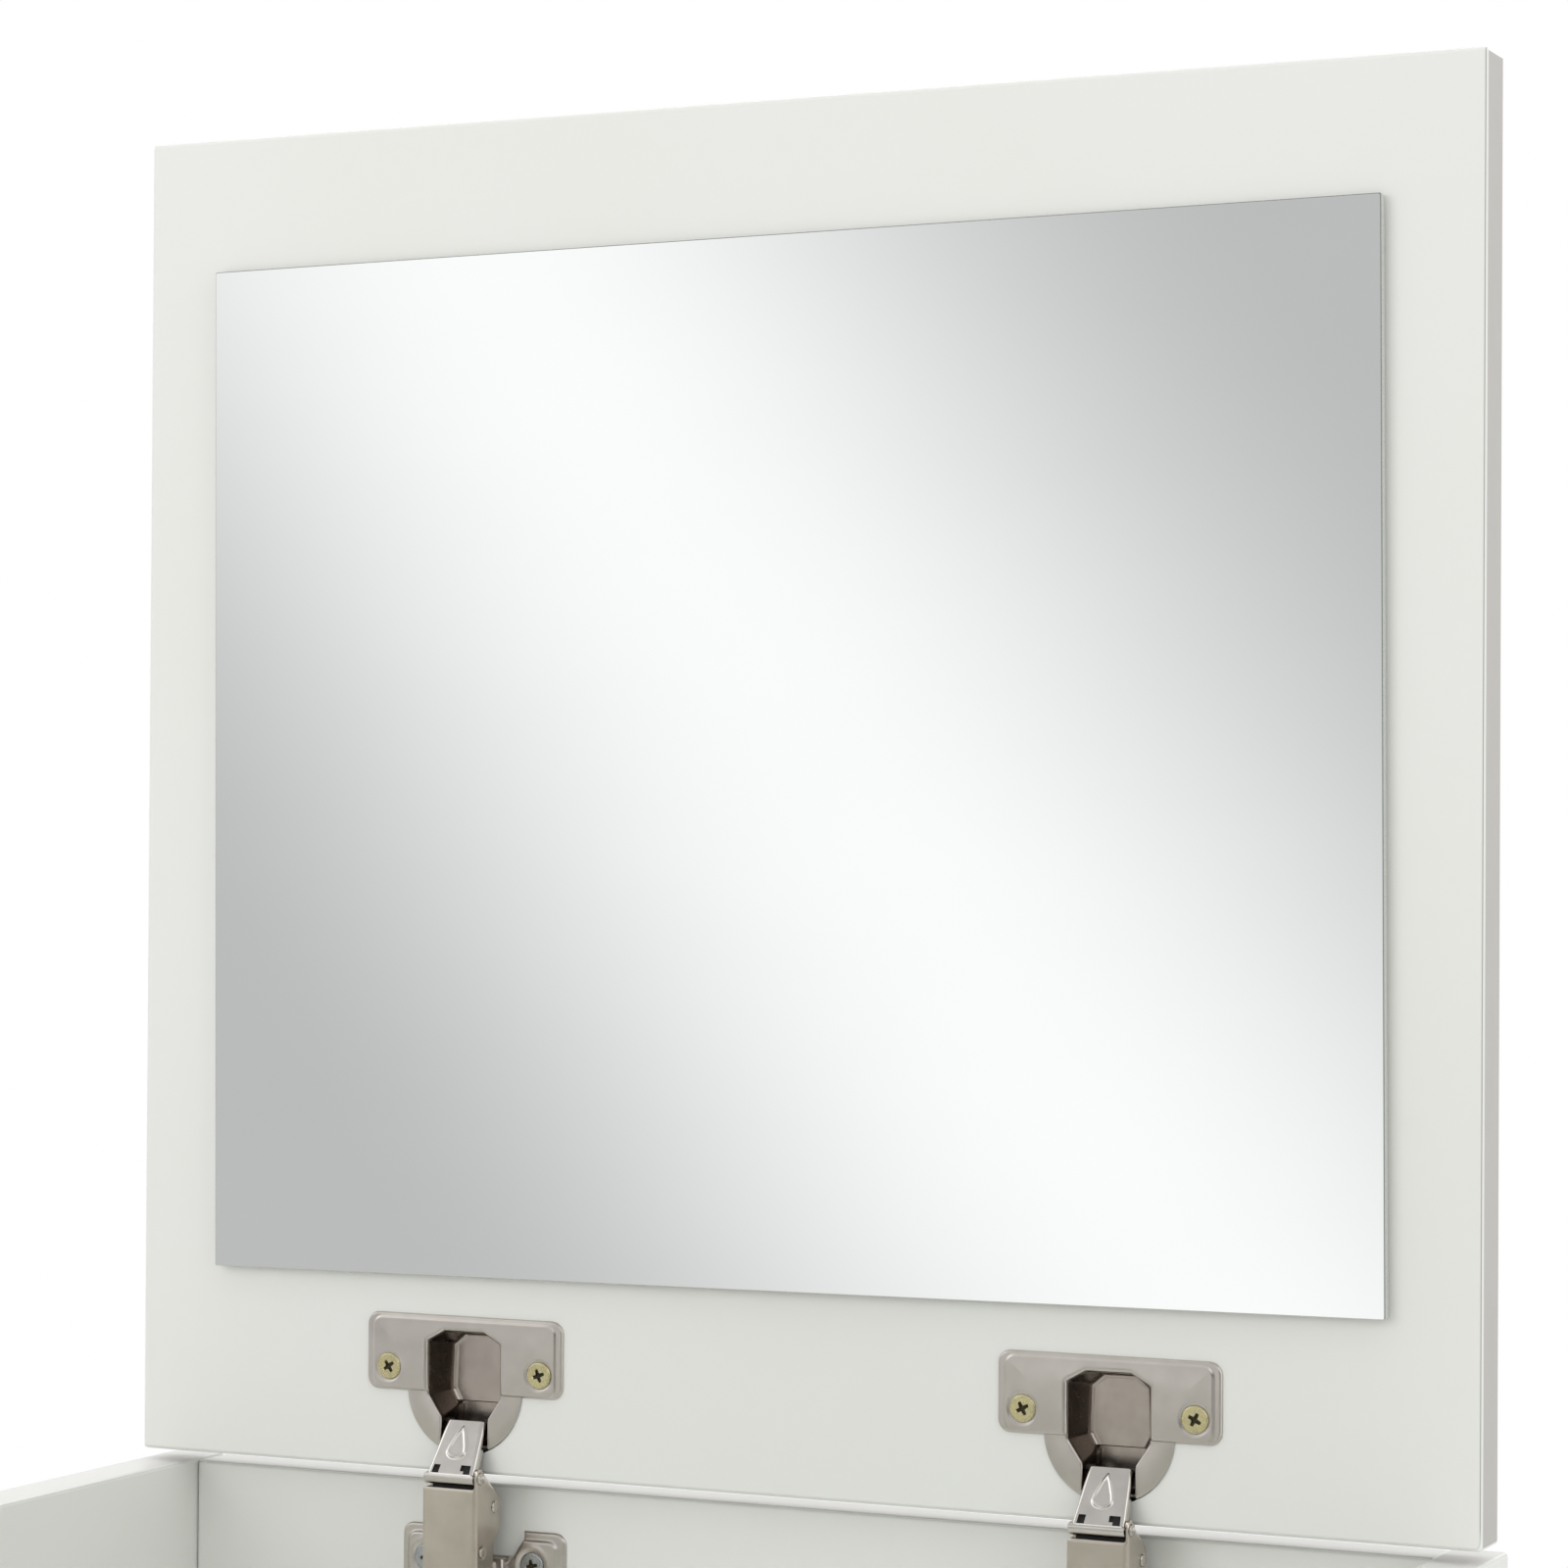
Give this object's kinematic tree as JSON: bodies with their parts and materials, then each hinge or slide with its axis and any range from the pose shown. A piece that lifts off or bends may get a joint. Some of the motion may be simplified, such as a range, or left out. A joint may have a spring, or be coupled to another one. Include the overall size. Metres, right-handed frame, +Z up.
{
  "type": "flip-top vanity table",
  "caption": "Small white vanity table with a shallow storage case on tapered legs; its lid carries a mirror inside and opens upright on concealed cup hinges.",
  "frame": {"origin": "on the floor under the middle of the table: the bottom centre of the whole object's box, lid open", "axes": "+Z up, +X to the right hand of a person sitting at the table, +Y away from them towards the hinged back edge"},
  "size_m": [0.403, 0.38, 1.1167],
  "materials": {
    "white_melamine_board": "white melamine-faced board with white edge band, satin",
    "white_lacquer": "white satin lacquer on solid wood",
    "silvered_glass": "silvered float glass with a ground edge",
    "foam_tape": "thin white double-sided tape",
    "satin_nickel": "nickel-plated pressed steel, satin",
    "bright_nickel": "nickel-plated pressed steel, polished",
    "pin_steel": "nickel-plated rivet steel",
    "spring_steel": "drawn spring wire",
    "yellow_zinc": "yellow-passivated zinc on a steel screw",
    "bright_zinc": "bright zinc-plated steel",
    "clear_silicone": "clear self-adhesive silicone"
  },
  "bodies": {
    "case": {"side_panel_left": "white_melamine_board", "side_panel_right": "white_melamine_board", "back_panel": "white_melamine_board", "front_panel": "white_melamine_board", "bottom_panel": "white_melamine_board", "leg_front_left": "white_lacquer", "leg_front_right": "white_lacquer", "leg_rear_left": "white_lacquer", "leg_rear_right": "white_lacquer", "leg_bolt_front_left": "bright_zinc", "leg_bolt_front_right": "bright_zinc", "leg_bolt_rear_left": "bright_zinc", "leg_bolt_rear_right": "bright_zinc", "cam_lock_front_left": "bright_zinc", "cam_lock_front_right": "bright_zinc", "cam_lock_back_left": "bright_zinc", "cam_lock_back_right": "bright_zinc", "cam_bolt_front_left": "bright_zinc", "cam_bolt_front_right": "bright_zinc", "cam_bolt_back_left": "bright_zinc", "cam_bolt_back_right": "bright_zinc", "bumper_left": "clear_silicone", "bumper_right": "clear_silicone", "hinge_left_arm": "satin_nickel", "hinge_left_mounting_plate": "satin_nickel", "hinge_left_arm_pin": "pin_steel", "hinge_left_inner_pin": "pin_steel", "hinge_left_spring": "spring_steel", "hinge_left_fixing_screw": "bright_zinc", "hinge_left_plate_screw_left": "yellow_zinc", "hinge_left_plate_screw_right": "yellow_zinc", "hinge_right_arm": "satin_nickel", "hinge_right_mounting_plate": "satin_nickel", "hinge_right_arm_pin": "pin_steel", "hinge_right_inner_pin": "pin_steel", "hinge_right_spring": "spring_steel", "hinge_right_fixing_screw": "bright_zinc", "hinge_right_plate_screw_left": "yellow_zinc", "hinge_right_plate_screw_right": "yellow_zinc"},
    "outer_links": {"hinge_left_outer_link": "bright_nickel", "hinge_right_outer_link": "bright_nickel"},
    "inner_links": {"hinge_left_inner_link": "satin_nickel", "hinge_right_inner_link": "satin_nickel"},
    "lid": {"lid_panel": "white_melamine_board", "mirror_tape": "foam_tape", "mirror_glass": "silvered_glass", "hinge_left_cup": "satin_nickel", "hinge_left_cup_rivet_left": "pin_steel", "hinge_left_cup_rivet_right": "pin_steel", "hinge_left_cup_pin": "pin_steel", "hinge_left_cup_screw_left": "yellow_zinc", "hinge_left_cup_screw_right": "yellow_zinc", "hinge_right_cup": "satin_nickel", "hinge_right_cup_rivet_left": "pin_steel", "hinge_right_cup_rivet_right": "pin_steel", "hinge_right_cup_pin": "pin_steel", "hinge_right_cup_screw_left": "yellow_zinc", "hinge_right_cup_screw_right": "yellow_zinc"}
  },
  "joints": [
    {"name": "outer_link_swing", "type": "hinge", "parent": "case", "child": "outer_links", "pos_m": [0, 0.1586, 0.7364], "axis": [1, 0, 0], "range_deg": [-52, 0]},
    {"name": "lid_hinge", "type": "hinge", "parent": "outer_links", "child": "lid", "pos_m": [0, 0.16787, 0.75066], "axis": [1, 0, 0], "range_deg": [0, 142]},
    {"name": "inner_link_swing", "type": "hinge", "parent": "case", "child": "inner_links", "pos_m": [0, 0.16685, 0.72753], "axis": [1, 0, 0], "range_deg": [-48.7, 0]}
  ],
  "couplings": [
    {"joint": "outer_link_swing", "follows": "lid_hinge", "ratio": -0.3662},
    {"joint": "inner_link_swing", "follows": "lid_hinge", "ratio": -0.34236}
  ]
}
